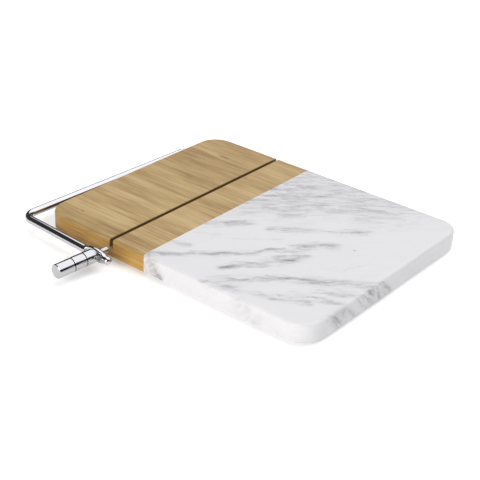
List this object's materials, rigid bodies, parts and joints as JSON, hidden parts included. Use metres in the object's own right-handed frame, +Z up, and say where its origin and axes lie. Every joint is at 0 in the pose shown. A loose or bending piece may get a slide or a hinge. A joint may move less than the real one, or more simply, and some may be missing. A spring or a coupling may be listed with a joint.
{
  "type": "cheese slicer board",
  "caption": "Rectangular bamboo and marble board with a hinged steel wire bow that cuts down into a groove, and a turning handle that tightens the wire.",
  "frame": {"origin": "on the surface that the slicer stands on, where its four feet touch it, under the middle of the whole slicer's length and width, bow down", "axes": "+X from the bamboo end to the marble end, +Y from the handle's side to the far side, +Z up out of the board's top"},
  "size_m": [0.2648, 0.2522, 0.017],
  "materials": {
    "bamboo": "oiled",
    "marble": "honed",
    "dowel_wood": "plain",
    "foot_rubber": "matte",
    "polished_rod": "polished",
    "washer_steel": "satin",
    "wire_steel": "drawn",
    "stud_steel": "satin",
    "turned_steel": "fine turned"
  },
  "bodies": {
    "board": {"bamboo_block": "bamboo", "marble_slab": "marble", "dowel_near": "dowel_wood", "dowel_middle": "dowel_wood", "dowel_far": "dowel_wood", "foot_near_left": "foot_rubber", "foot_near_right": "foot_rubber", "foot_far_left": "foot_rubber", "foot_far_right": "foot_rubber"},
    "bow": {"bow_rod": "polished_rod", "handle_washer": "washer_steel"},
    "handle": {"turning_handle": "turned_steel"},
    "wire_set": {"cutting_wire": "wire_steel", "wire_ball": "wire_steel", "tension_stud": "stud_steel"}
  },
  "joints": [
    {"name": "bow_swing", "type": "hinge", "parent": "board", "child": "bow", "pos_m": [-0.04662, 0.0931, 0.0105], "axis": [-1, 0, 0], "range_deg": [0, 180]},
    {"name": "handle_turn", "type": "hinge", "parent": "bow", "child": "handle", "pos_m": [-0.04662, -0.0784, 0.0105], "axis": [-0.0576, -0.9983, 0], "range_deg": [0, 720]},
    {"name": "stud_slide", "type": "slide", "parent": "bow", "child": "wire_set", "axis": [0.0576, 0.9983, 0], "range_m": [0, 0.0016]}
  ],
  "couplings": [
    {"joint": "stud_slide", "follows": "handle_turn", "m_per_rad": 0.00012732}
  ]
}
